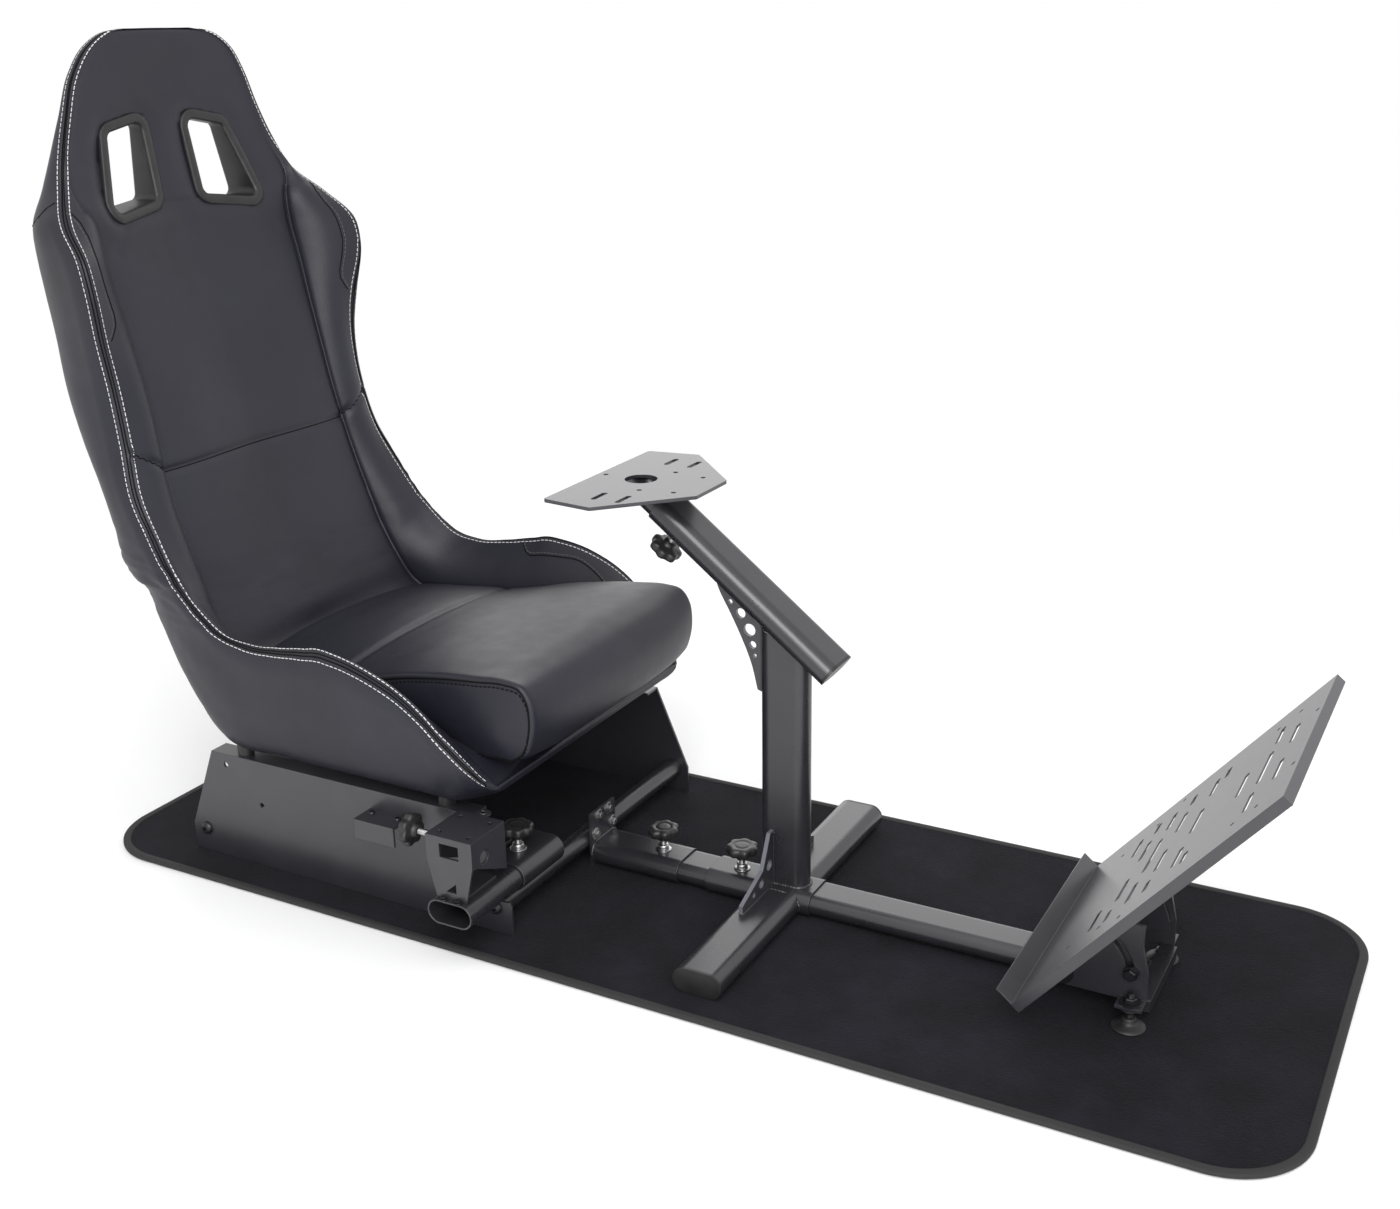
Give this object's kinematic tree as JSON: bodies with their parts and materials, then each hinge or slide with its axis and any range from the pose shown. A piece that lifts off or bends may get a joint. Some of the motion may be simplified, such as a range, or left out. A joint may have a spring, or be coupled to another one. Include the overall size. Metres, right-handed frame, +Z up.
{
  "type": "sim racing cockpit",
  "caption": "Bucket seat on a folded base with a telescoping frame, wheel plate, tilting pedal deck and side shifter mount, on a floor mat.",
  "frame": {"origin": "centre of the mat's underside", "axes": "+X the driver's forward, +Y the driver's left, +Z up"},
  "size_m": [1.5269, 0.5565, 1.003],
  "materials": {
    "powder_coat": "satin",
    "leatherette": "matt grained",
    "carpet": "short pile",
    "binding": "woven tape",
    "bezel": "moulded",
    "knob": "moulded",
    "end_cap": "moulded",
    "foot_rubber": "smooth",
    "zinc": "zinc plated"
  },
  "bodies": {
    "seat_base": {"floor_mat": "carpet", "mat_binding": "binding", "right_side_plate": "powder_coat", "left_side_plate": "powder_coat", "front_cross_tube": "powder_coat", "rear_cross_tube": "powder_coat", "seat_spacers": "zinc", "side_bracket": "powder_coat", "backrest": "leatherette", "right_harness_bezel": "bezel", "left_harness_bezel": "bezel", "right_wing": "leatherette", "left_wing": "leatherette", "right_thigh_bolster": "leatherette", "left_thigh_bolster": "leatherette", "seat_pan": "leatherette", "seat_cushion": "leatherette", "rear_tube": "powder_coat", "rear_bracket": "powder_coat", "shifter_sleeve": "powder_coat", "rear_tube_knob": "knob", "shifter_tube_knob": "knob"},
    "slide_frame": {"slide_tube": "powder_coat", "right_pedal_bracket": "powder_coat", "left_pedal_bracket": "powder_coat", "pedal_cross_bar": "powder_coat", "pedal_pivot": "zinc", "suction_feet": "foot_rubber", "foot_studs": "zinc"},
    "column": {"column_sleeve": "powder_coat", "right_foot_arm": "powder_coat", "left_foot_arm": "powder_coat", "foot_caps": "end_cap", "sloped_tube": "powder_coat", "slope_cap": "end_cap", "post": "powder_coat", "upper_gusset": "powder_coat", "base_gussets": "powder_coat", "column_knob": "knob", "wheel_knob": "knob"},
    "wheel_support": {"wheel_tube": "powder_coat", "wheel_plate": "powder_coat"},
    "pedals": {"pedal_deck": "powder_coat", "pedal_lugs": "powder_coat", "tilt_bolts": "zinc"},
    "shifter": {"shifter_tube": "powder_coat", "shifter_stand": "powder_coat", "shifter_stand_knob": "knob"}
  },
  "joints": [
    {"name": "pedal_reach", "type": "slide", "parent": "seat_base", "child": "slide_frame", "axis": [1, 0, 0], "range_m": [-0.015, 0.045]},
    {"name": "column_slide", "type": "slide", "parent": "slide_frame", "child": "column", "axis": [1, 0, 0], "range_m": [-0.015, 0.12]},
    {"name": "wheel_slide", "type": "slide", "parent": "column", "child": "wheel_support", "axis": [-0.7906, 0, 0.6124], "range_m": [-0.008, 0.1]},
    {"name": "pedal_tilt", "type": "hinge", "parent": "slide_frame", "child": "pedals", "pos_m": [0.47, 0, 0.045], "axis": [0, -1, 0], "range_deg": [0, 25]},
    {"name": "shifter_slide", "type": "slide", "parent": "seat_base", "child": "shifter", "axis": [0, -1, 0], "range_m": [0, 0.045]}
  ]
}
